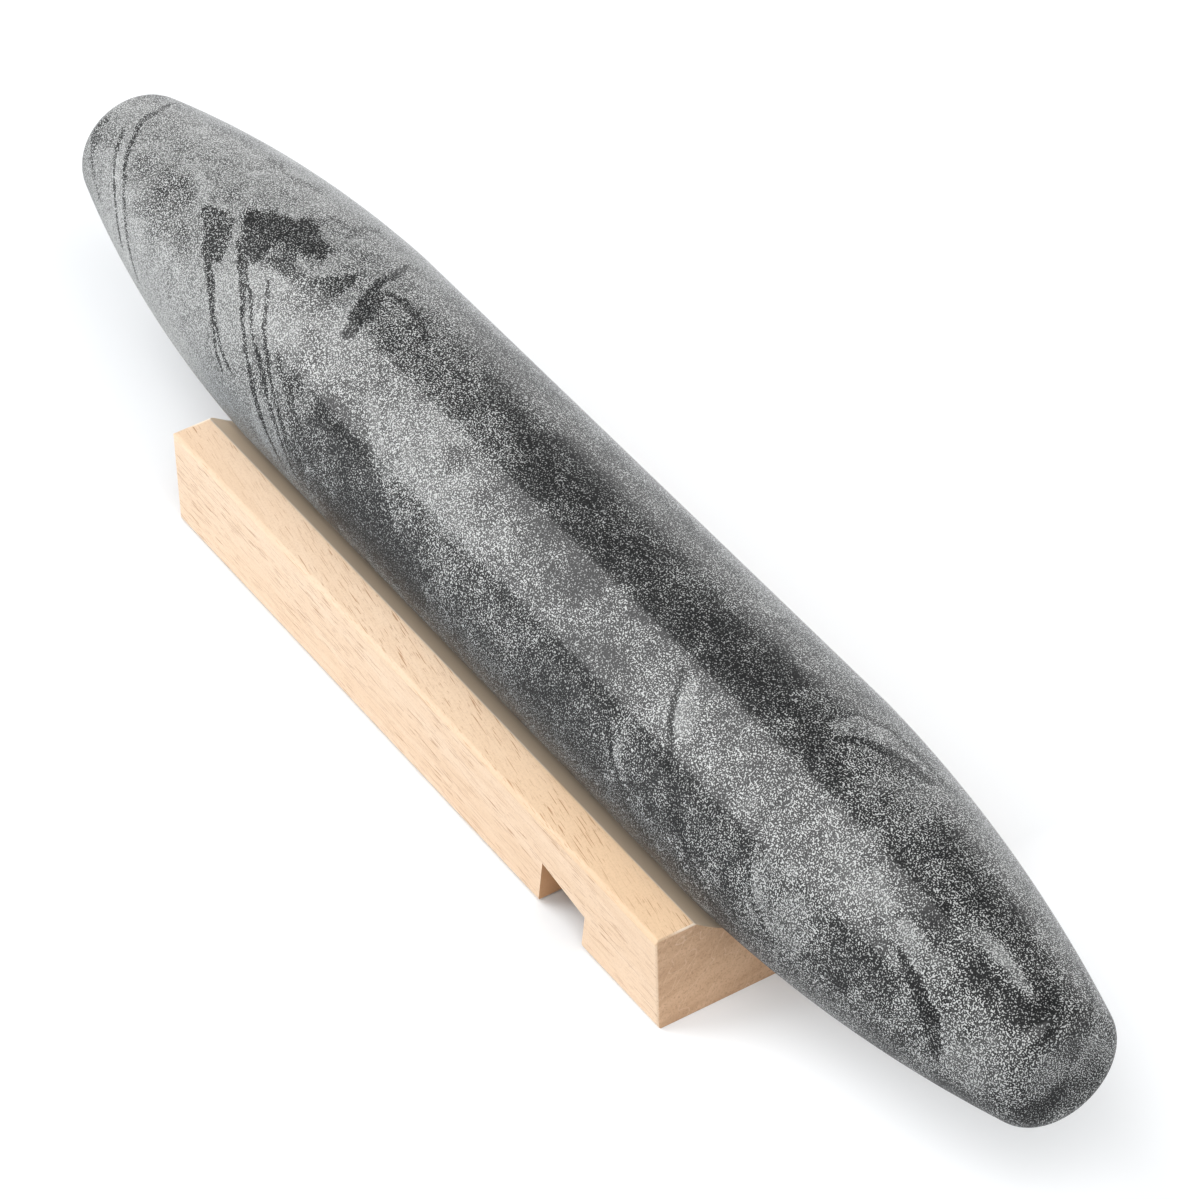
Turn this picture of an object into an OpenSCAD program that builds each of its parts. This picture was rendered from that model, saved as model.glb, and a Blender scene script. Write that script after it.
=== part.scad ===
// Solid marble rolling pin resting in the groove of a short beech cradle.
// The pin lies along X with its middle over the origin, and the cradle stands on z = 0.

/* [Rolling pin] */
// Overall length of the pin
pin_l = 300; // [240:5:420]
// Diameter of the straight barrel
pin_d = 46; // [40:1:54]
// Length of the straight barrel between the two tapers
barrel_l = 146; // [120:1:190]
// Diameter that each taper reaches at the end face, before the edge is rounded
end_d = 22.2; // [16:0.2:36]
// Angle at which each curved taper leaves the barrel
shoulder_deg = 1.6; // [0:0.1:3]
// Radius of the rounded edge round each end face
end_round = 5; // [2:0.5:6]

/* [Cradle] */
// Length of the cradle along the pin
cradle_l = 162; // [140:0.2:200]
// Width of the cradle from front to back
cradle_w = 57; // [52:0.5:70]
// Height of the cradle at the flat lands beside the groove
cradle_h = 20.7; // [18:0.1:25]
// Distance of the cradle's middle from the pin's middle, towards the left end
cradle_shift = 6; // [0:0.1:15]
// Radius of the concave groove, wider than the pin so that the pin rests on one line
groove_r = 31; // [28:0.5:36]
// Thickness of the wood under the lowest line of the groove
groove_floor = 12.8; // [12.2:0.2:15]

/* [Notch in the underside] */
// Width of the notch, square to its walls
notch_w = 13.4; // [8:0.2:18]
// Height of the middle of the notch's ceiling above the table
notch_h = 9.7; // [6:0.1:10]
// Distance from the cradle's right end to the middle of the notch's ceiling
notch_inset = 29; // [20:1:60]
// Lean of the notch's walls, towards the right end at the top
notch_lean = 10; // [-12:1:12]

/* [Edges and clearance] */
// Radius of the two eased edges along the top of the cradle
top_edge_r = 0.9; // [0.5:0.1:4]
// Radius of the two eased edges along the underside of the cradle
base_edge_r = 1.4; // [0.5:0.1:3]
// Radius of the eased edges round the left end of the cradle
left_edge_r = 1.8; // [0.4:0.1:4]
// Radius of the barely eased edges round the right end of the cradle
right_edge_r = 0.5; // [0.3:0.1:4]
// Radius that softens the lips of the groove
lip_r = 0.8; // [0.5:0.1:4]
// Radius of the softened feet on both sides of the notch
foot_r = 1.5; // [0.3:0.1:2]
// Clearance between the pin and the lowest line of the groove
rest_gap = 0.1; // [0.05:0.05:0.5]

/* [Hidden] */
$fn = 120;

// Sides of the circle for each long taper arc, which uses only a small part of it
arc_sides = 1440;
// How far cutting shapes run past the faces they cut
over = 1;

pin_r = pin_d / 2;
pin_half = pin_l / 2;
shoulder_z = barrel_l / 2;
pin_axis_z = groove_floor + rest_gap + pin_r;

// The taper arc starts at the shoulder at shoulder_deg and ends at end_d in the end plane.
taper_run = pin_half - shoulder_z;
taper_drop = pin_r - end_d / 2;
taper_rise = taper_drop * cos(shoulder_deg) - taper_run * sin(shoulder_deg);
taper_r = (taper_run * taper_run + taper_drop * taper_drop) / (2 * taper_rise);
taper_c = [pin_r - taper_r * cos(shoulder_deg), shoulder_z - taper_r * sin(shoulder_deg)];

// The end's rounding circle touches the taper arc from inside and the end plane.
round_z = pin_half - end_round;
round_reach = taper_r - end_round;
round_c = [taper_c[0] + sqrt(round_reach ^ 2 - (round_z - taper_c[1]) ^ 2), round_z];
arc_end_z = taper_c[1] + (round_z - taper_c[1]) * taper_r / round_reach;

// The groove's circle, and the circle that softens each lip
groove_c = [0, groove_floor + groove_r];
lip_z = cradle_h - lip_r;
lip_c = [sqrt((groove_r + lip_r) ^ 2 - (groove_c[1] - lip_z) ^ 2), lip_z];
groove_edge_y = sqrt(groove_r ^ 2 - (groove_c[1] - cradle_h) ^ 2);
lip_foot = groove_c + (lip_c - groove_c) * groove_r / (groove_r + lip_r);

cradle_left = -cradle_shift - cradle_l / 2;
cradle_right = -cradle_shift + cradle_l / 2;
notch_x = cradle_right - notch_inset;
// Points where the notch's leaning walls meet the table
notch_foot_half = notch_w / (2 * cos(notch_lean));
notch_foot_x = notch_x - notch_h * tan(notch_lean);

// Unit vector at angle a
function ray(a) = [cos(a), sin(a)];

// Waste to cut from the convex corner p, whose two sides leave it at angles a and b
module corner_waste(p, a, b, r) {
    half = (b - a) / 2;
    centre = p + r / sin(half) * ray(a + half);
    reach = r / tan(half);
    difference() {
        polygon([p - over * ray(a + half), p + reach * ray(a), centre, p + reach * ray(b)]);
        translate(centre) circle(r = r);
    }
}

// Half of the pin's outline: radius along x, distance from the middle along y
module pin_half_outline() {
    square([pin_r, shoulder_z]);
    intersection() {
        translate(taper_c) circle(r = taper_r, $fn = arc_sides);
        translate([0, shoulder_z]) square([pin_r, arc_end_z - shoulder_z]);
    }
    translate(round_c) circle(r = end_round);
    square([round_c[0], pin_half]);
}

module rolling_pin() {
    color([0.45, 0.46, 0.47])
    translate([0, 0, pin_axis_z])
    rotate([0, 90, 0])
    rotate_extrude($fn = 180) {
        pin_half_outline();
        mirror([0, 1]) pin_half_outline();
    }
}

// Cross-section of the cradle: across along x, up along y
module cradle_section() {
    half_w = cradle_w / 2;
    difference() {
        translate([-half_w, 0]) square([cradle_w, cradle_h]);
        translate(groove_c) circle(r = groove_r, $fn = 360);
        for (side = [0, 1]) mirror([side, 0]) {
            corner_waste([half_w, cradle_h], 180, 270, top_edge_r);
            corner_waste([half_w, 0], 90, 180, base_edge_r);
            difference() {
                polygon([lip_c, [lip_c[0], cradle_h], [groove_edge_y - over, cradle_h], lip_foot]);
                translate(lip_c) circle(r = lip_r);
            }
        }
    }
}

// Side outline of the cradle with the leaning notch: along the pin along x, up along y
module cradle_profile() {
    wall = 90 - notch_lean;
    difference() {
        translate([cradle_left, 0]) square([cradle_l, cradle_h]);
        corner_waste([cradle_left, 0], 0, 90, left_edge_r);
        corner_waste([cradle_right, 0], 90, 180, right_edge_r);
        corner_waste([cradle_right, cradle_h], 180, 270, right_edge_r);
        corner_waste([cradle_left, cradle_h], 270, 360, left_edge_r);
        translate([notch_x, notch_h]) rotate(-notch_lean) translate([-notch_w / 2, -2 * notch_h])
            square([notch_w, 2 * notch_h]);
        corner_waste([notch_foot_x - notch_foot_half, 0], wall, 180, foot_r);
        corner_waste([notch_foot_x + notch_foot_half, 0], 0, wall, foot_r);
    }
}

// Upright corner waste at the four corners of the cradle's plan
module upright_waste() {
    half_w = cradle_w / 2;
    translate([0, 0, -over]) linear_extrude(cradle_h + 2 * over) {
        corner_waste([cradle_left, -half_w], 0, 90, left_edge_r);
        corner_waste([cradle_right, -half_w], 90, 180, right_edge_r);
        corner_waste([cradle_right, half_w], 180, 270, right_edge_r);
        corner_waste([cradle_left, half_w], 270, 360, left_edge_r);
    }
}

module cradle() {
    color([0.93, 0.79, 0.64])
    difference() {
        intersection() {
            translate([cradle_left - over, 0, 0]) rotate([90, 0, 90])
                linear_extrude(cradle_l + 2 * over) cradle_section();
            translate([0, cradle_w / 2 + over, 0]) rotate([90, 0, 0])
                linear_extrude(cradle_w + 2 * over) cradle_profile();
        }
        upright_waste();
    }
}

cradle();
rolling_pin();
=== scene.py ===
"""Looks of the marble rolling pin in its beech cradle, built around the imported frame, in metres."""
import math

import bmesh
import bpy
import numpy as np
from mathutils import Matrix, Vector, noise


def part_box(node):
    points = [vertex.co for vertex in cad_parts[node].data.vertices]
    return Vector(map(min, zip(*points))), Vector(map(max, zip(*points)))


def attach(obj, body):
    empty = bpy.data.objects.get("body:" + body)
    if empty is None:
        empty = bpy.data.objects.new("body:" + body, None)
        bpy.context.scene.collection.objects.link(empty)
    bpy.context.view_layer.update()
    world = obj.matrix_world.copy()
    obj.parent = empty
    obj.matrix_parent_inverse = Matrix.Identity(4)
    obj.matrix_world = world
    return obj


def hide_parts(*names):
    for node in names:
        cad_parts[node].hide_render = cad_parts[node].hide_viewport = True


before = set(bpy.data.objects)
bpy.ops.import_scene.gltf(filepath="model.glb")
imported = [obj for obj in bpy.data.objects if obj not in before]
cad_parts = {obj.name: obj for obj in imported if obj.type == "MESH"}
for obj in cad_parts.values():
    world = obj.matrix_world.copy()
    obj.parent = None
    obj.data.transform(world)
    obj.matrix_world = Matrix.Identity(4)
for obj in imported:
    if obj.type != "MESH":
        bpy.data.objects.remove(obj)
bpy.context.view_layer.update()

MM = 0.001

# Sizes of the pin, as its solid has them
PIN_LOW, PIN_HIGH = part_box("rolling_pin")
PIN_HALF = (PIN_HIGH.x - PIN_LOW.x) / 2
PIN_R = (PIN_HIGH.z - PIN_LOW.z) / 2
AXIS_Z = (PIN_HIGH.z + PIN_LOW.z) / 2
BARREL_HALF = 73 * MM
END_R = 11.1 * MM
END_ROUND = 5 * MM
SHOULDER = math.radians(1.6)
# Length round the barrel, in mm
ROUND_MM = 2 * math.pi * PIN_R / MM
# Mesh of the pin, fine enough to hold the marble's figure: distance between its rings, and sides of each ring
RING_STEP = 0.5 * MM
RING_SIDES = 288

# Sizes of the cradle, as its solid has them
CRADLE_LOW, CRADLE_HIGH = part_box("cradle")
CRADLE_MIDDLE = (CRADLE_HIGH.x + CRADLE_LOW.x) / 2
CRADLE_HALF = (CRADLE_HIGH.x - CRADLE_LOW.x) / 2
CRADLE_TOP = CRADLE_HIGH.z
GROOVE_HALF = 20.5 * MM

# The camera, fitted to the outline of the pin and its cradle
LENS_MM = 177.3
SENSOR_MM = 36
PHOTO_SIDE = 1200
CAMERA_DISTANCE = 1.0275
AZIMUTH = math.radians(58.286)
ELEVATION = math.radians(41.064)
ROLL = math.radians(-1.859)
# Where the middle of the pin lies in the picture, in its pixels
PIN_MIDDLE_PX = (554.2, 565.8)

# The key softbox faces the pin from the front and left: its distance, its angle above the table, how far it
# stands to the left, its level width and its height
KEY_DISTANCE = 1.92
KEY_RISE = math.radians(51.5)
KEY_ASIDE = -1.41
KEY_SIZE = (1.98, 2.64)
# The fill softbox hangs in front and to the right
FILL_PLACE = (1.05, -0.6, 1.7)
FILL_SIZE = (1.5, 1.5)
FLOOR_RADIUS = 14

# Brightness of the studio, where 1 is the white of the picture
KEY_RADIANCE = 4.25
FILL_RADIANCE = 3.7
WALL_BACK = 2.4
WALL_FRONT = 0.45
CEILING = 0.4
FLOOR_LIFT = 0.3


def smooth(t):
    """Smooth step of values from 0 to 1."""
    t = np.clip(t, 0, 1)
    return t * t * (3 - 2 * t)


def taper_arc():
    """Radius of the long taper's arc and its centre (x, radius), as the pin's solid has them."""
    run, drop = PIN_HALF - BARREL_HALF, PIN_R - END_R
    rise = drop * math.cos(SHOULDER) - run * math.sin(SHOULDER)
    arc = (run * run + drop * drop) / (2 * rise)
    centre_x = BARREL_HALF - arc * math.sin(SHOULDER)
    centre_r = PIN_R - arc * math.cos(SHOULDER)
    return arc, centre_x, centre_r


def pin_outline(step):
    """Points (x, radius) from the middle of one end face to the shoulder and on to the pin's middle."""
    arc, centre_x, centre_r = taper_arc()
    reach = arc - END_ROUND
    round_x = PIN_HALF - END_ROUND
    round_r = centre_r + math.sqrt(reach ** 2 - (round_x - centre_x) ** 2)
    tilt = math.atan2(round_x - centre_x, round_r - centre_r)
    points = [(PIN_HALF, round_r * k / 8) for k in range(8)]
    for k in range(17):
        a = math.pi / 2 - (math.pi / 2 - tilt) * k / 16
        points.append((round_x + END_ROUND * math.sin(a), round_r + END_ROUND * math.cos(a)))
    steps = round(arc * (tilt - SHOULDER) / step)
    for k in range(1, steps + 1):
        a = tilt + (SHOULDER - tilt) * k / steps
        points.append((centre_x + arc * math.sin(a), centre_r + arc * math.cos(a)))
    steps = round(BARREL_HALF / step)
    points += [(BARREL_HALF * (1 - k / steps), PIN_R) for k in range(1, steps + 1)]
    return points


def lathe(name, step, sides):
    """The pin as one closed mesh of rings round its axis, about step apart and each of that many sides."""
    half = pin_outline(step)
    rings = half[1:] + [(-x, r) for x, r in reversed(half[1:-1])]
    angles = np.linspace(0, 2 * math.pi, sides, endpoint=False)
    xr = np.array(rings)
    x = np.repeat(xr[:, 0], sides)
    r = np.repeat(xr[:, 1], sides)
    a = np.tile(angles, len(rings))
    co = np.stack([x, -r * np.cos(a), AXIS_Z + r * np.sin(a)], 1)
    co = np.vstack([co, [[PIN_HALF, 0, AXIS_Z], [-PIN_HALF, 0, AXIS_Z]]])
    faces = []
    for i in range(len(rings) - 1):
        for j in range(sides):
            k = (j + 1) % sides
            faces.append((i * sides + j, i * sides + k, (i + 1) * sides + k, (i + 1) * sides + j))
    first, last = len(co) - 2, len(co) - 1
    base = (len(rings) - 1) * sides
    for j in range(sides):
        k = (j + 1) % sides
        faces.append((first, k, j))
        faces.append((last, base + j, base + k))
    mesh = bpy.data.meshes.new(name)
    mesh.from_pydata(co.tolist(), [], faces)
    mesh.update()
    bm = bmesh.new()
    bm.from_mesh(mesh)
    bmesh.ops.recalc_face_normals(bm, faces=bm.faces)
    bm.to_mesh(mesh)
    bm.free()
    mesh.polygons.foreach_set("use_smooth", [True] * len(mesh.polygons))
    piece = bpy.data.objects.new(name, mesh)
    bpy.context.scene.collection.objects.link(piece)
    return piece


# Figure of the marble. A place on it is (mm along the pin, degrees round it from the front, up over the top).
# The hidden side repeats the figure, turned by 9 mm more than half way round and mirrored along the pin.
COPIES = ((0.0, 1), (ROUND_MM / 2 + 9, -1))

# Lightness along the pin: (mm along the pin, lightness from 0 to 1)
TONE = [(-150, 0.54), (-85, 0.55), (-62, 0.44), (-38, 0.24), (30, 0.20), (80, 0.21), (105, 0.27), (150, 0.26)]

# Soft clouds: (added lightness, x, degrees, half length along the pin, half height round it, both in mm)
CLOUDS = [
    (0.15, -12, 54, 22, 8),
    (-0.14, 10, 65, 22, 4),
    (-0.12, 2, 95, 14, 5),
    (0.12, -20, 80, 11, 5),
    # Painted shade: a long darker band round the top of the pin, along its whole length.
    (-0.07, 0, 100, 190, 13),
    (-0.10, 25, 84, 62, 6),
    (0.06, -44, 98, 18, 7),
    (-0.05, -122, 92, 32, 13),
    (0.07, 40, 132, 130, 6),
    (0.09, 92, 103, 13, 7),
    (-0.06, -82, 66, 16, 9),
    (0.10, -112, -8, 30, 6),
    (-0.08, 122, 76, 12, 6),
    (-0.08, 60, 36, 9, 4),
    (-0.08, -52, 18, 14, 6),
    # Painted shade: a long darker band low on the front of the pin, above the cradle.
    (-0.05, 20, -6, 70, 9),
    (-0.10, 40, 23, 12, 9),
    (0.12, -60, 4, 7, 5),
    (0.06, -118, 2, 26, 9),
    (-0.10, -20, -2, 22, 7),
    (-0.10, -26, 10, 20, 9),
    (-0.14, -40, 36, 9, 4),
    (-0.08, -54, 46, 10, 4),
    (-0.14, -108, 50, 18, 7),
    (0.06, -79, 42, 10, 7),
    (0.12, 61, 52, 5, 7),
    (0.10, 53, 20, 4, 6),
    (-0.07, 64, 18, 9, 8),
    (-0.08, 78, 26, 9, 8),
    (0.12, 98, 14, 7, 9),
    (0.11, 101, 85, 6, 9),
    (-0.13, 118, 24, 7, 6),
    (0.12, 118, 54, 12, 3),
    (-0.12, 134, 68, 14, 5),
    (0.17, 135, 82, 7, 3),
    (-0.10, 130, 104, 20, 7),
    (0.12, 141, 18, 7, 12),
    (0.10, 84, 108, 5, 7),
    (-0.12, 63, 97, 12, 6),
    (-0.14, -144, 125, 9, 9),
    (-0.06, -90, 118, 60, 14),
    (-0.08, -144, 10, 7, 14),
    (0.10, -58, 2, 6, 5),
    (-0.08, -84, 74, 8, 6),
]

# Strokes: (depth, points), where depth above 0 darkens and below 0 lightens, and each point is
# (x, degrees, half width in mm)
STROKES = [
    (1.0, [(-91, 75, 1.8), (-87, 79, 3.2), (-82, 82, 3.2), (-77, 85, 2.0), (-72, 84, 0.8)]),
    (0.9, [(-89, 74, 1.6), (-86, 69, 2.6), (-82, 64, 1.4)]),
    (0.8, [(-101, 63, 1.2), (-97, 61, 2.4), (-93, 56, 2.6), (-90, 51, 1.2)]),
    (0.6, [(-79, 67, 0.8), (-72, 69, 1.2), (-66, 74, 2.2), (-63, 79, 1.6), (-64, 88, 0.8)]),
    (1.0, [(-64, 117, 0.4), (-61, 107, 0.7), (-60, 97, 0.9), (-57, 86, 1.1), (-54, 76, 1.7), (-52, 69, 1.3)]),
    (0.9, [(-57, 93, 0.7), (-55, 86, 1.0), (-54, 78, 0.8)]),
    (0.8, [(-57, 94, 0.6), (-52, 97, 0.8), (-46, 96, 0.7), (-40, 90, 0.5)]),
    (0.9, [(-94, 50, 0.6), (-90, 43, 0.8), (-86, 35, 1.0), (-82, 25, 0.5), (-76, 10, 0.5)]),
    (0.8, [(-87, 36, 0.5), (-80, 24, 0.5), (-73, 13, 0.4)]),
    (0.9, [(-89, 63, 0.4), (-78, 45, 0.5), (-68, 23, 0.5), (-62, 8, 0.5), (-55, -10, 0.5)]),
    (0.8, [(-84, 58, 0.4), (-73, 42, 0.4), (-62, 22, 0.5), (-54, 3, 0.5), (-49, -12, 0.4)]),
    (0.8, [(-75, 59, 0.4), (-65, 35, 0.5), (-58, 21, 0.5), (-52, 4, 0.6), (-46, -10, 0.5)]),
    (0.6, [(-62, 37, 0.6), (-55, 29, 0.9), (-48, 16, 0.9), (-43, 8, 0.5)]),
    (0.5, [(-34, 26, 0.6), (-24, 12, 0.9), (-17, 1, 0.6)]),
    (0.5, [(-40, 12, 0.5), (-31, 4, 0.7), (-24, -6, 0.5)]),
    (0.8, [(-140, 113, 0.4), (-138, 93, 0.6), (-137, 78, 0.8), (-134, 60, 0.6), (-128, 41, 0.7)]),
    (0.7, [(-128, 42, 0.5), (-122, 23, 0.5), (-117, 9, 0.5), (-113, -3, 0.4)]),
    (0.8, [(-139, 64, 0.5), (-136, 50, 0.7), (-133, 40, 0.5), (-128, 26, 0.5), (-121, 4, 0.5)]),
    (-0.5, [(-136, 56, 1.0), (-131, 38, 1.5), (-122, 12, 1.5), (-116, -2, 1.0)]),
    (0.5, [(-146, 60, 0.8), (-145, 42, 1.2), (-141, 22, 0.9), (-135, 9, 0.7)]),
    (0.4, [(-110, 112, 0.6), (-103, 110, 0.9), (-98, 111, 0.8), (-92, 115, 0.5)]),
    (0.5, [(-77, 124, 0.8), (-77, 114, 1.0), (-75, 103, 0.6)]),
    (0.4, [(-83, 104, 0.5), (-79, 106, 0.6), (-72, 112, 0.5)]),
    (-0.4, [(-44, 66, 0.8), (-30, 42, 1.1), (-18, 24, 1.2), (-8, 8, 1.0), (-2, -3, 0.6)]),
    (-0.3, [(-37, 60, 0.5), (-24, 48, 0.6), (-10, 38, 0.5)]),
    (0.9, [(55, 66, 0.4), (60, 50, 0.6), (65, 37, 0.6), (70, 21, 0.8), (76, 6, 0.7), (86, -15, 0.5)]),
    (0.7, [(48, 30, 0.4), (52, 18, 0.6), (57, 5, 0.7), (60, -5, 0.4)]),
    (-0.4, [(58, 66, 0.8), (62, 54, 1.8), (67, 41, 1.0)]),
    (-0.5, [(50, 28, 0.8), (54, 18, 1.3), (57, 11, 0.8)]),
    (0.5, [(88, 62, 0.4), (88, 40, 0.5), (91, 20, 0.6), (98, 2, 0.5), (103, -12, 0.4)]),
    (-0.4, [(89, 36, 0.6), (92, 22, 0.8), (99, 6, 0.7)]),
    (1.0, [(98, 118, 0.8), (94, 114, 1.2), (88, 105, 1.0), (86, 98, 0.7), (84, 90, 0.5)]),
    (0.6, [(98, 127, 0.6), (87, 123, 0.8), (81, 114, 0.9), (79, 102, 0.7), (81, 89, 0.5)]),
    (1.0, [(122, 44, 0.5), (127, 37, 1.2), (132, 27, 1.5), (134, 15, 1.2), (135, 2, 0.5)]),
    (-0.5, [(110, 64, 0.8), (119, 56, 1.2), (126, 44, 0.9)]),
    (-0.4, [(130, 86, 1.0), (136, 84, 1.5), (142, 82, 1.2)]),
    (0.8, [(146, 64, 0.8), (145, 76, 1.4), (145, 90, 1.0)]),
    (0.6, [(140, 138, 0.6), (145, 129, 0.8), (148, 118, 0.6)]),
    (0.4, [(12, 130, 0.4), (18, 134, 0.6), (22, 128, 0.4), (16, 125, 0.4)]),
]


def round_mm(degrees):
    """Length round the barrel that an angle takes, in mm."""
    return degrees / 360 * ROUND_MM


def stroke_line(points, spacing=0.6):
    """Points (x, mm round the pin, half width), spacing mm apart on a smooth curve through the given ones."""
    p = np.array([(x, round_mm(degrees), half_width) for x, degrees, half_width in points], float)
    p = np.vstack([2 * p[0] - p[1], p, 2 * p[-1] - p[-2]])
    line = []
    for a, b, c, d in zip(p, p[1:], p[2:], p[3:]):
        count = max(2, int(np.linalg.norm(c - b) / spacing))
        for t in np.arange(count) / count:
            line.append(0.5 * (2 * b + (c - a) * t + (2 * a - 5 * b + 4 * c - d) * t ** 2
                               + (3 * b - a - 3 * c + d) * t ** 3))
    line.append(p[-2])
    return np.array(line)


def fractal(points, size, octaves, offset=0.0):
    """Fractal noise from about -1 to 1 at each point, whose largest features are size across."""
    shift = Vector((offset, 2.3 * offset, -1.7 * offset))
    return np.array([noise.fractal(Vector(p) / size + shift, 1.0, 2.0, octaves) for p in points])


def wrapped(lengths):
    """Lengths round the pin in mm, brought between minus and plus half of its circumference."""
    return (lengths + ROUND_MM / 2) % ROUND_MM - ROUND_MM / 2


def cloud_lift(x, v, rough):
    """Lightness that the clouds add at each place (x, v) in mm, where rough makes their borders uneven."""
    total = np.zeros(len(x))
    for turn, flip in COPIES:
        for lift, cx, degrees, half_x, half_v in CLOUDS:
            dv = wrapped(v - turn - round_mm(degrees))
            far = np.hypot((x * flip - cx) / half_x, dv / half_v) + rough
            total += lift * smooth((1.4 - far) / 0.7)
    return total


def stroke_depth(x, v, rough):
    """Depth of the strokes at each place (x, v) in mm, where the deepest stroke counts."""
    depths = np.zeros(len(x))
    for turn, flip in COPIES:
        for depth, points in STROKES:
            line = stroke_line(points)
            reach = 2 * line[:, 2].max() + 1
            near = (x * flip > line[:, 0].min() - reach) & (x * flip < line[:, 0].max() + reach)
            du = (x * flip)[near, None] - line[None, :, 0]
            dv = wrapped(v[near, None] - turn - line[None, :, 1])
            far = (np.hypot(du, dv) / line[None, :, 2]).min(1) + rough[near]
            strength = depth * smooth((1.5 - far) / 0.6)
            held = depths[near]
            depths[near] = np.where(np.abs(strength) > np.abs(held), strength, held)
    return depths


def paint_marble(piece):
    """Stores the marble's tone, its strokes, and the field and share of its fine strata in the mesh."""
    mesh = piece.data
    co = np.empty(len(mesh.vertices) * 3)
    mesh.vertices.foreach_get("co", co)
    co = co.reshape(-1, 3)
    x = co[:, 0] / MM
    v = np.arctan2(co[:, 2] - AXIS_Z, -co[:, 1]) * PIN_R / MM
    broad = fractal(co, 24 * MM, 3)
    ripple = fractal(co, 6 * MM, 3, 7.0)
    sway = fractal(co, 9 * MM, 2, 13.0)
    ragged = fractal(co, 2 * MM, 2, 19.0)
    tone = np.interp(x + 8 * broad, *np.array(TONE).T) + 0.05 * broad + 0.09 * ripple
    tone += cloud_lift(x, v, 0.5 * ripple + 0.3 * broad + 0.2 * ragged)
    strokes = stroke_depth(x + 0.7 * sway, v + 0.7 * ripple, 0.3 * ripple + 0.45 * ragged)
    # The strata run aslant across the front of the pin and are strongest towards its left end.
    v_front = wrapped(v - round_mm(15))
    strata = (0.72 * x + 0.66 * v_front + 7 * broad + 1.2 * ripple) / 100
    strata_share = smooth((broad + 0.3) / 0.7) * smooth((18 - np.abs(v_front)) / 14 + 0.6)
    strata_share *= np.interp(x, [-95, -50, 20, 150], [1.0, 0.8, 0.35, 0.45])
    fields = (("tone", tone), ("strokes", strokes), ("strata", strata), ("strata_share", strata_share))
    for name, values in fields:
        mesh.attributes.new(name, "FLOAT", "POINT").data.foreach_set("value", values.astype(np.float32))


class Nodes:
    """Small helper that adds shader nodes to one material and links them."""

    def __init__(self, name):
        self.material = bpy.data.materials.new(name)
        self.material.use_nodes = True
        self.tree = self.material.node_tree
        self.tree.nodes.clear()
        self.out = self.tree.nodes.new("ShaderNodeOutputMaterial")
        self.shader = self.tree.nodes.new("ShaderNodeBsdfPrincipled")
        self.tree.links.new(self.shader.outputs[0], self.out.inputs[0])

    def put(self, socket, value):
        if isinstance(value, bpy.types.NodeSocket):
            self.tree.links.new(value, socket)
        else:
            socket.default_value = value

    def add(self, kind, inputs=None, **settings):
        made = self.tree.nodes.new("ShaderNode" + kind)
        for key, value in settings.items():
            setattr(made, key, value)
        for key, value in (inputs or {}).items():
            self.put(made.inputs[key], value)
        return made

    def math(self, operation, a, b=0.0):
        return self.add("Math", {0: a, 1: b}, operation=operation).outputs[0]

    def product(self, first, *others):
        for other in others:
            first = self.math("MULTIPLY", first, other)
        return first

    def rest(self, share):
        """One minus a share."""
        return self.math("SUBTRACT", 1.0, share)

    def ramp(self, value, low, high, to_low=0.0, to_high=1.0, kind="SMOOTHSTEP"):
        made = self.add("MapRange", {0: value, 1: low, 2: high, 3: to_low, 4: to_high})
        made.interpolation_type = kind
        return made.outputs[0]

    def attribute(self, name):
        return self.add("Attribute", attribute_name=name).outputs["Fac"]

    def mix(self, share, a, b, blend="MIX"):
        made = self.add("Mix", data_type="RGBA", blend_type=blend)
        for index, value in ((0, share), (6, a), (7, b)):
            self.put(made.inputs[index], value)
        return made.outputs[2]

    def where(self, size=(1, 1, 1), turn=(0, 0, 0)):
        """Object coordinates turned by turn, then counted in features of the given size."""
        place = self.add("TexCoord").outputs["Object"]
        inputs = {"Vector": place, "Scale": size, "Rotation": turn}
        return self.add("Mapping", inputs, vector_type="TEXTURE").outputs[0]

    def noise(self, vector, scale=1.0, detail=2.0, rough=0.5):
        made = self.add("TexNoise", {"Vector": vector, "Scale": scale, "Detail": detail, "Roughness": rough})
        return made.outputs["Fac"]

    def greys(self, value, stops):
        """Grey of a value, a little blue where it is dark. The first stop is at 0 and the last at 1."""
        made = self.add("ValToRGB", {"Fac": value})
        held = made.color_ramp.elements
        for index, (position, grey) in enumerate(stops):
            stop = held[0] if index == 0 else held[-1] if index == len(stops) - 1 else held.new(position)
            stop.color = (grey * 0.98 - 0.0003, grey, grey + 0.0006 - 0.01 * grey, 1)
        return made.outputs[0]

    def swing(self, value, amount):
        """A value from 0 to 1 as an offset from minus to plus half of amount."""
        return self.math("MULTIPLY", self.math("SUBTRACT", value, 0.5), amount)


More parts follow.
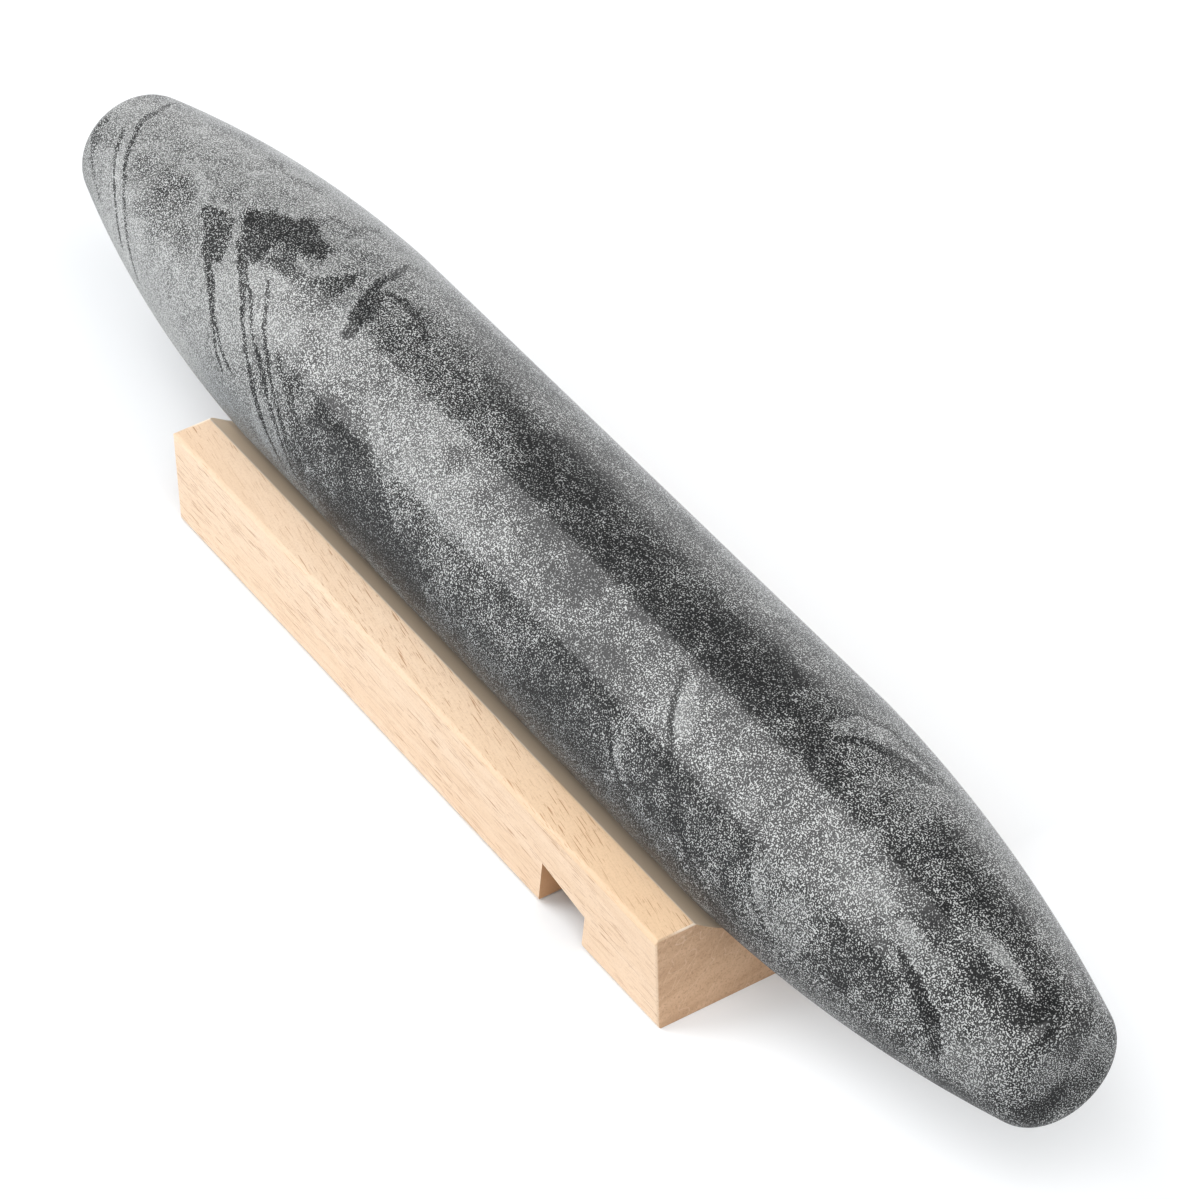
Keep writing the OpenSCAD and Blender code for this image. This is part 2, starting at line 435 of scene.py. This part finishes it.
def marble_tone(n, cloud):
    """Tone of the marble from about 0 to 1, and the share of the dark strokes in it."""
    strata = n.add("TexNoise", {"W": n.attribute("strata"), "Scale": 62.0, "Detail": 2.0, "Roughness": 0.6},
                   noise_dimensions="1D").outputs[0]
    thin = n.ramp(n.math("ABSOLUTE", n.math("SUBTRACT", strata, 0.5)), 0.0, 0.04, 1.0, 0.0)
    thin = n.product(thin, n.attribute("strata_share"), n.ramp(cloud, 0.35, 0.6, 0.2, 1.0))
    strokes = n.product(n.attribute("strokes"), n.ramp(cloud, 0.3, 0.7, 0.75, 1.15))
    dark = n.math("MAXIMUM", strokes, 0.0)
    light = n.math("MAXIMUM", n.product(strokes, -1.0), 0.0)
    tone = n.math("ADD", n.attribute("tone"), n.swing(cloud, 0.42))
    tone = n.product(tone, n.rest(n.product(dark, 0.9)))
    tone = n.math("ADD", tone, n.product(light, 0.22))
    tone = n.math("SUBTRACT", tone, n.product(thin, 0.13))
    return tone, dark


def marble_material():
    """Honed grey marble: dark and light crystals, whose shares and greys follow the marble's figure."""
    n = Nodes("honed_marble")
    where = n.where()
    cloud = n.noise(where, 300.0, 4.0, 0.62)
    tone, dark = marble_tone(n, cloud)
    share = n.ramp(tone, 0.0, 1.0, -0.16, 0.08, "LINEAR")
    crystals = n.ramp(n.math("ADD", n.noise(where, 4000.0, 0.0), share), 0.46, 0.54)
    dark_crystals = n.greys(tone, [(0.0, 0.004), (0.25, 0.018), (0.5, 0.12), (1.0, 0.30)])
    light_crystals = n.greys(tone, [(0.0, 0.28), (0.25, 0.50), (0.5, 0.41), (1.0, 0.50)])
    base = n.mix(crystals, dark_crystals, light_crystals)
    # Painted shade: the underside is painted darker and bluer where it lies in the cradle, and it has lost
    # most of its polish.
    along, _, height = n.add("SeparateXYZ", {0: where}).outputs
    off_middle = n.math("ABSOLUTE", n.math("SUBTRACT", along, CRADLE_MIDDLE))
    held = n.ramp(off_middle, CRADLE_HALF - 16 * MM, CRADLE_HALF + 9 * MM, 1.0, 0.0)
    held = n.product(held, n.ramp(height, AXIS_Z - 10 * MM, AXIS_Z + 8 * MM, 1.0, 0.0))
    base = n.mix(held, base, (0.54, 0.60, 0.65, 1), "MULTIPLY")
    n.put(n.shader.inputs["Base Color"], base)
    n.put(n.shader.inputs["Roughness"], n.ramp(cloud, 0.3, 0.7, 0.45, 0.55))
    n.shader.inputs["IOR"].default_value = 1.5
    n.shader.inputs["Specular IOR Level"].default_value = 0.15
    # The dark veins are softer and take less polish than the rest.
    polish = n.ramp(height, AXIS_Z - 2 * MM, AXIS_Z + 14 * MM, 0.0, 0.43)
    n.put(n.shader.inputs["Coat Weight"], n.product(n.rest(n.product(dark, 0.6)), polish))
    n.shader.inputs["Coat Roughness"].default_value = 0.12
    bump = n.add("Bump", {"Strength": 0.25, "Distance": 0.12 * MM, "Height": crystals})
    n.put(n.shader.inputs["Normal"], bump.outputs[0])
    return n.material


def grain(n, front, size, detail, rough=0.5):
    """Noise drawn out along the bar, which leans towards the front at the right end, or down on the front."""
    top_lean, front_lean = (0.0, 0.0, math.radians(-8)), (0.0, math.radians(3), 0.0)
    top, side = (n.noise(n.where(size, lean), 1.0, detail, rough) for lean in (top_lean, front_lean))
    return n.add("Mix", {"Factor": front, "A": top, "B": side}).outputs[0]


def long_grain(n, normal, place, front, fibre, fleck):
    """Colour of the beech on its long faces: bands, fibres and short brown ray flecks."""
    x, _, z = place
    bands = grain(n, front, (0.12, 0.006, 0.005), 3.0, 0.55)
    mottle = n.noise(n.where(), 2600.0, 1.0)
    top = n.ramp(z, CRADLE_TOP - 1.5 * MM, CRADLE_TOP - 0.4 * MM)
    warm_top = n.product(n.ramp(x, -30 * MM, 70 * MM), top, 0.9)
    left_top = n.product(n.ramp(x, -80 * MM, -20 * MM, 0.3, 0.0), n.ramp(normal[2], 0.6, 0.8))
    colour = n.mix(n.ramp(bands, 0.3, 0.7), (0.80, 0.625, 0.465, 1), (0.75, 0.555, 0.388, 1))
    colour = n.mix(warm_top, colour, (0.75, 0.53, 0.335, 1))
    colour = n.mix(left_top, colour, (0.66, 0.485, 0.34, 1))
    colour = n.mix(n.ramp(fibre, 0.45, 0.75, 0.0, 0.35), colour, (0.63, 0.44, 0.285, 1))
    colour = n.mix(n.ramp(mottle, 0.45, 0.7, 0.0, 0.22), colour, (0.55, 0.37, 0.23, 1))
    return n.mix(n.product(fleck, 0.75), colour, (0.38, 0.19, 0.09, 1))


def painted_groove_and_edge_light(n, colour, normal, place, blotch):
    """The beech's colour with painted light on the groove wall, painted shade low in the groove and on the
    outer top rims, and a painted highlight on the groove's lips.
    """
    _, y, z = place
    off_middle = n.math("ABSOLUTE", y)
    # Painted light: the groove's wall is painted paler than the rest of the wood.
    painted_groove_mask = n.ramp(off_middle, GROOVE_HALF - 0.5 * MM, GROOVE_HALF + 0.5 * MM, 1.0, 0.0)
    painted_groove_mask = n.product(painted_groove_mask, n.ramp(normal[2], 0.0, 0.3))
    colour = n.mix(painted_groove_mask, colour, (0.97, 0.78, 0.58, 1))
    # Painted shade: low in the groove, beside the pin, the wood is painted darker.
    painted_contact_shade = n.product(painted_groove_mask, n.ramp(z, CRADLE_TOP - 3.9 * MM, CRADLE_TOP - 2.4 * MM, 0.42, 0.0))
    colour = n.mix(painted_contact_shade, colour, (0.30, 0.25, 0.20, 1))
    # Painted shade: along the top the sanded outer rims are painted a little darker.
    outer = n.ramp(off_middle, 23 * MM, 26 * MM)
    painted_edge_shade = n.product(n.ramp(normal[2], 0.2, 0.5), n.ramp(normal[2], 0.9, 0.99, 1.0, 0.0))
    painted_edge_shade = n.product(painted_edge_shade, n.ramp(z, CRADLE_TOP - 1.5 * MM, CRADLE_TOP - 0.4 * MM), outer, 0.4)
    colour = n.mix(painted_edge_shade, colour, (0.58, 0.42, 0.29, 1))
    # Painted highlight: a pale line along the lips of the groove, broken up in places.
    painted_lip_highlight = n.product(n.ramp(z, CRADLE_TOP - 0.5 * MM, CRADLE_TOP - 0.2 * MM), n.ramp(blotch, 0.3, 0.5))
    painted_lip_highlight = n.product(painted_lip_highlight, n.ramp(normal[2], 0.93, 0.99, 0.7, 0.0), n.rest(outer))
    return n.mix(painted_lip_highlight, colour, (0.96, 0.84, 0.70, 1))


def end_grain(n, place):
    """Colour of the beech across the grain: rings, pores, fine light curls and saw marks."""
    x = place[0]
    rings = n.noise(n.where((0.05, 0.014, 0.0028), (math.radians(12), 0.0, 0.0)), 1.0, 3.0, 0.55)
    speckle = n.noise(n.where(), 2200.0, 1.0)
    curl = n.noise(n.where((0.03, 0.011, 0.006), (math.radians(35), 0.0, 0.0)), 1.0, 2.0, 0.4)
    curl = n.ramp(n.math("ABSOLUTE", n.swing(curl, 6.0)), 0.0, 0.04, 0.3, 0.0)
    pores = n.noise(n.where((0.01, 0.0004, 0.0004)), 1.0, 1.0)
    saw = n.noise(n.where((0.02, 0.00028, 0.007), (math.radians(-24), 0.0, 0.0)), 1.0, 2.0, 0.55)
    colour = n.mix(n.ramp(rings, 0.35, 0.65), (0.63, 0.41, 0.255, 1), (0.53, 0.33, 0.195, 1))
    colour = n.mix(n.ramp(speckle, 0.45, 0.7, 0.0, 0.35), colour, (0.42, 0.25, 0.14, 1))
    colour = n.mix(curl, colour, (0.90, 0.70, 0.52, 1))
    colour = n.mix(n.ramp(pores, 0.55, 0.75, 0.0, 0.5), colour, (0.34, 0.19, 0.10, 1))
    colour = n.mix(n.ramp(saw, 0.60, 0.74, 0.0, 0.4), colour, (0.82, 0.60, 0.41, 1))
    # Painted shade: the walls of the notch are painted a darker, warmer brown than the bar's ends.
    notch = n.product(n.ramp(x, 55 * MM, 65 * MM, 0.8, 0.0), n.ramp(x, -20 * MM, 0.0))
    return n.mix(notch, colour, (0.50, 0.265, 0.12, 1))


def beech_material():
    """Sanded beech with its grain along the bar, and darker end grain."""
    n = Nodes("sanded_beech")
    normal = n.add("SeparateXYZ", {0: n.add("NewGeometry").outputs["Normal"]}).outputs
    place = n.add("SeparateXYZ", {0: n.where()}).outputs
    front = n.ramp(n.math("ABSOLUTE", normal[1]), 0.6, 0.8)
    blotch = n.noise(n.where((0.02, 0.006, 0.006)), 1.0, 2.0)
    fibre = grain(n, front, (0.008, 0.00035, 0.00035), 2.0, 0.6)
    long_fleck = n.ramp(grain(n, front, (0.0042, 0.0002, 0.0002), 0.0), 0.68, 0.75)
    short_fleck = n.ramp(grain(n, front, (0.0024, 0.00018, 0.00018), 0.0), 0.68, 0.75)
    fleck = n.math("MAXIMUM", long_fleck, n.product(short_fleck, 0.6))
    fleck = n.product(fleck, n.ramp(blotch, 0.35, 0.6, 0.35, 1.0))
    sides = long_grain(n, normal, place, front, fibre, fleck)
    sides = painted_groove_and_edge_light(n, sides, normal, place, blotch)
    end = n.ramp(n.math("ABSOLUTE", normal[0]), 0.80, 0.97)
    n.put(n.shader.inputs["Base Color"], n.mix(end, sides, end_grain(n, place)))
    n.put(n.shader.inputs["Roughness"], n.ramp(fibre, 0.3, 0.7, 0.52, 0.64))
    n.shader.inputs["IOR"].default_value = 1.45
    height = n.math("SUBTRACT", fibre, n.product(fleck, 0.6))
    bump = n.add("Bump", {"Strength": 0.25, "Distance": 0.06 * MM, "Height": height})
    n.put(n.shader.inputs["Normal"], bump.outputs[0])
    return n.material


def floor_material():
    """White sweep, whose lift towards white only the camera and reflections see, so that it adds no light."""
    n = Nodes("white_sweep")
    n.shader.inputs["Base Color"].default_value = (0.735, 0.75, 0.765, 1)
    n.shader.inputs["Roughness"].default_value = 0.9
    n.shader.inputs["Specular IOR Level"].default_value = 0.0
    # The lift is stronger on the right and behind the object, where the shadow falls, and even far away.
    x, y, _ = n.add("SeparateXYZ", {0: n.where()}).outputs
    distance = n.add("VectorMath", {0: n.where()}, operation="LENGTH").outputs["Value"]
    right = n.ramp(x, 50 * MM, 90 * MM, 0.0, FLOOR_LIFT)
    behind = n.ramp(y, -10 * MM, 30 * MM, 0.0, 0.55 * FLOOR_LIFT)
    far = n.ramp(distance, 350 * MM, 700 * MM, 0.0, FLOOR_LIFT)
    lift = n.math("MAXIMUM", n.math("MAXIMUM", right, behind), far)
    path = n.add("LightPath").outputs
    seen = n.math("MAXIMUM", path["Is Camera Ray"], path["Is Glossy Ray"])
    seen = n.math("MAXIMUM", seen, path["Is Transmission Ray"])
    n.shader.inputs["Emission Color"].default_value = (1, 1, 1, 1)
    n.put(n.shader.inputs["Emission Strength"], n.product(seen, lift))
    return n.material


def make_floor():
    bpy.ops.mesh.primitive_circle_add(vertices=96, radius=FLOOR_RADIUS, fill_type="NGON", location=(0, 0, 0))
    floor = bpy.context.object
    floor.name = "floor"
    floor.data.materials.append(floor_material())


def world_ramp(tree, value, low, high, to_low, to_high):
    """Smooth ramp of a value in the world's node tree."""
    ramp = tree.nodes.new("ShaderNodeMapRange")
    ramp.interpolation_type = "SMOOTHSTEP"
    tree.links.new(value, ramp.inputs[0])
    for index, number in enumerate((low, high, to_low, to_high)):
        ramp.inputs[index + 1].default_value = number
    return ramp.outputs[0]


def make_world():
    """White walls near the horizon, brighter behind the object than before it, and a dim ceiling."""
    world = bpy.data.worlds.new("studio")
    bpy.context.scene.world = world
    world.use_nodes = True
    tree = world.node_tree
    tree.nodes.clear()
    split = tree.nodes.new("ShaderNodeSeparateXYZ")
    tree.links.new(tree.nodes.new("ShaderNodeTexCoord").outputs["Generated"], split.inputs[0])
    wall = world_ramp(tree, split.outputs["Y"], -0.4, 0.5, WALL_FRONT, WALL_BACK)
    height = world_ramp(tree, split.outputs["Z"], 0.22, 0.48, 0.0, 1.0)
    blend = tree.nodes.new("ShaderNodeMix")
    tree.links.new(height, blend.inputs[0])
    tree.links.new(wall, blend.inputs[2])
    blend.inputs[3].default_value = CEILING
    background = tree.nodes.new("ShaderNodeBackground")
    out = tree.nodes.new("ShaderNodeOutputWorld")
    tree.links.new(blend.outputs[0], background.inputs["Strength"])
    tree.links.new(background.outputs[0], out.inputs[0])


def softbox(name, centre, target, size, radiance):
    """Rectangular lamp of a level width and a height, facing target."""
    width, height = size
    lamp = bpy.data.lights.new(name, "AREA")
    lamp.shape = "RECTANGLE"
    lamp.size = width
    lamp.size_y = height
    lamp.energy = radiance * math.pi * width * height
    holder = bpy.data.objects.new(name, lamp)
    bpy.context.scene.collection.objects.link(holder)
    back = (Vector(centre) - Vector(target)).normalized()
    side = Vector((0, 0, 1)).cross(back).normalized()
    up = back.cross(side)
    holder.matrix_world = Matrix.Translation(centre) @ Matrix((side, up, back)).transposed().to_4x4()


def make_lights():
    """A large softbox in front and to the left, higher than it is wide, and a fill from the right."""
    centre = (KEY_ASIDE, -KEY_DISTANCE * math.cos(KEY_RISE), AXIS_Z + KEY_DISTANCE * math.sin(KEY_RISE))
    softbox("key_softbox", centre, (KEY_ASIDE, 0, AXIS_Z), KEY_SIZE, KEY_RADIANCE)
    softbox("fill_softbox", FILL_PLACE, (0, 0, 0), FILL_SIZE, FILL_RADIANCE)


def make_camera():
    reach = math.cos(ELEVATION)
    back = Vector((math.sin(AZIMUTH) * reach, -math.cos(AZIMUTH) * reach, math.sin(ELEVATION)))
    level = Vector((math.cos(AZIMUTH), math.sin(AZIMUTH), 0))
    upright = back.cross(level)
    side = math.cos(ROLL) * level + math.sin(ROLL) * upright
    up = math.cos(ROLL) * upright - math.sin(ROLL) * level
    px_to_m = CAMERA_DISTANCE * SENSOR_MM / (LENS_MM * PHOTO_SIDE)
    middle = PHOTO_SIDE / 2
    place = Vector((0, 0, AXIS_Z)) + back * CAMERA_DISTANCE
    place -= side * (PIN_MIDDLE_PX[0] - middle) * px_to_m
    place += up * (PIN_MIDDLE_PX[1] - middle) * px_to_m
    camera = bpy.data.cameras.new("camera")
    camera.lens = LENS_MM
    camera.sensor_width = SENSOR_MM
    camera.clip_start = 0.05
    camera.clip_end = 60
    holder = bpy.data.objects.new("camera", camera)
    bpy.context.scene.collection.objects.link(holder)
    holder.matrix_world = Matrix.Translation(place) @ Matrix((side, up, back)).transposed().to_4x4()
    bpy.context.scene.camera = holder


def dress_pin():
    pin = lathe("marble_pin", RING_STEP, RING_SIDES)
    paint_marble(pin)
    pin.data.materials.append(marble_material())
    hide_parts("rolling_pin")
    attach(pin, "rolling_pin")


def dress_cradle():
    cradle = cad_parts["cradle"]
    cradle.data.materials.clear()
    cradle.data.materials.append(beech_material())


bpy.context.scene.view_settings.view_transform = "Standard"
make_camera()
make_world()
make_lights()
make_floor()
dress_pin()
dress_cradle()
